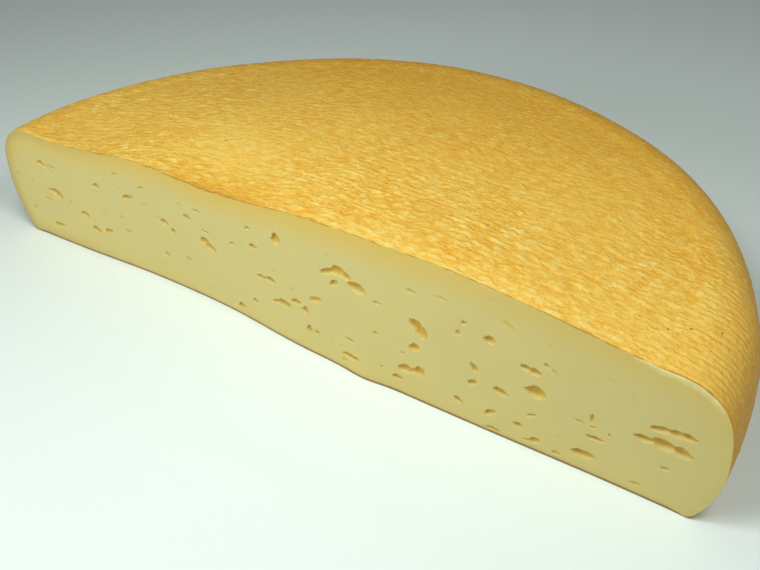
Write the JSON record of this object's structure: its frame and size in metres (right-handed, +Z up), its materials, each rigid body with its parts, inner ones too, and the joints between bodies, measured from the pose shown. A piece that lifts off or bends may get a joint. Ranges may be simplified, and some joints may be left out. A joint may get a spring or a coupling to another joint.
{
  "type": "alpine cheese half wheel",
  "caption": "Half of a low round alpine cheese with a bulging side, a cloth-marked rind and a cut face with small ragged eyes, lying on its flat base.",
  "frame": {"origin": "middle of the box round the half wheel, at the height of the surface that it lies on", "axes": "+X along the cut, to the right when facing the cut; +Y from the cut into the cheese; +Z up"},
  "size_m": [0.3204, 0.1636, 0.0601],
  "materials": {
    "rind": "washed cheese rind, orange-yellow with paler raised cloth marks, dull sheen",
    "paste": "cut cheese paste, pale yellow, matte, with ochre eyes"
  },
  "bodies": {
    "root": {"cheese_half_wheel": "rind"}
  },
  "joints": []
}
